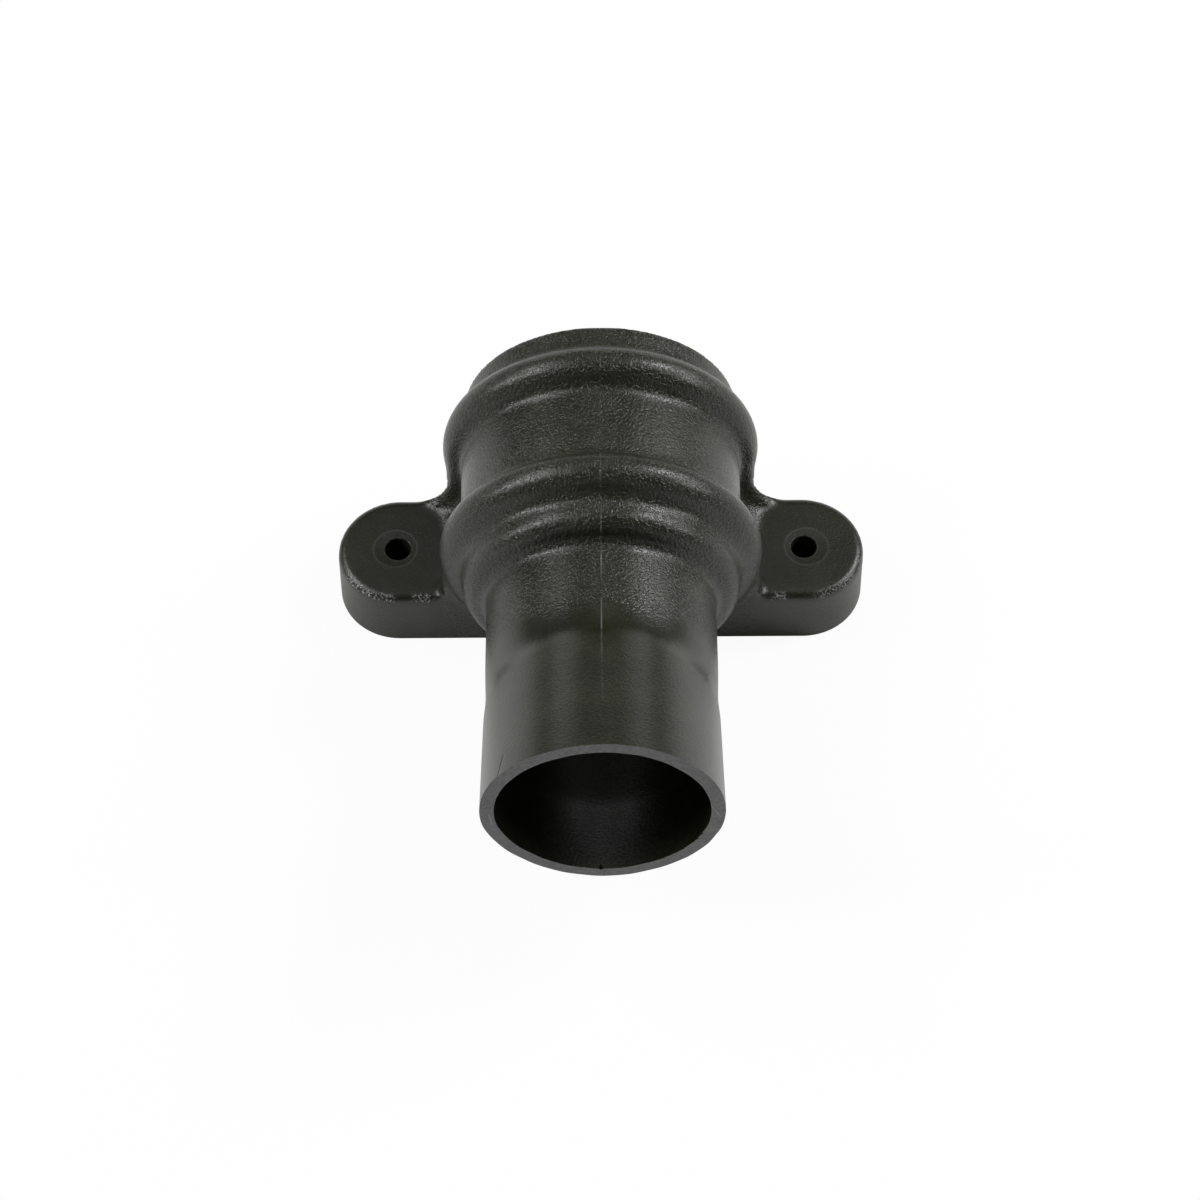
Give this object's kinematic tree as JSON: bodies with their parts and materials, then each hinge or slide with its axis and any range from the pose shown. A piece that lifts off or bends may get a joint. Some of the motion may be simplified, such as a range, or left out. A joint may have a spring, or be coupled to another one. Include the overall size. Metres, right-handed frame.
{
  "type": "downpipe shoe",
  "caption": "Black cast-iron-style plastic downpipe shoe: beaded socket, fixing ears on a stand-off block, and a spout that bends away from the wall.",
  "frame": {"origin": "the middle of the flat wall face, on the line through both screw holes", "axes": "+Z out of the wall, +Y up the downpipe towards the socket's rim, X across the ears; the mouth faces -Y"},
  "size_m": [0.165, 0.1513, 0.0968],
  "materials": {
    "black_plastic": "black moulded plastic with a fine sand-cast grain, semi-matt"
  },
  "bodies": {
    "root": {"downpipe_shoe": "black_plastic"}
  },
  "joints": []
}
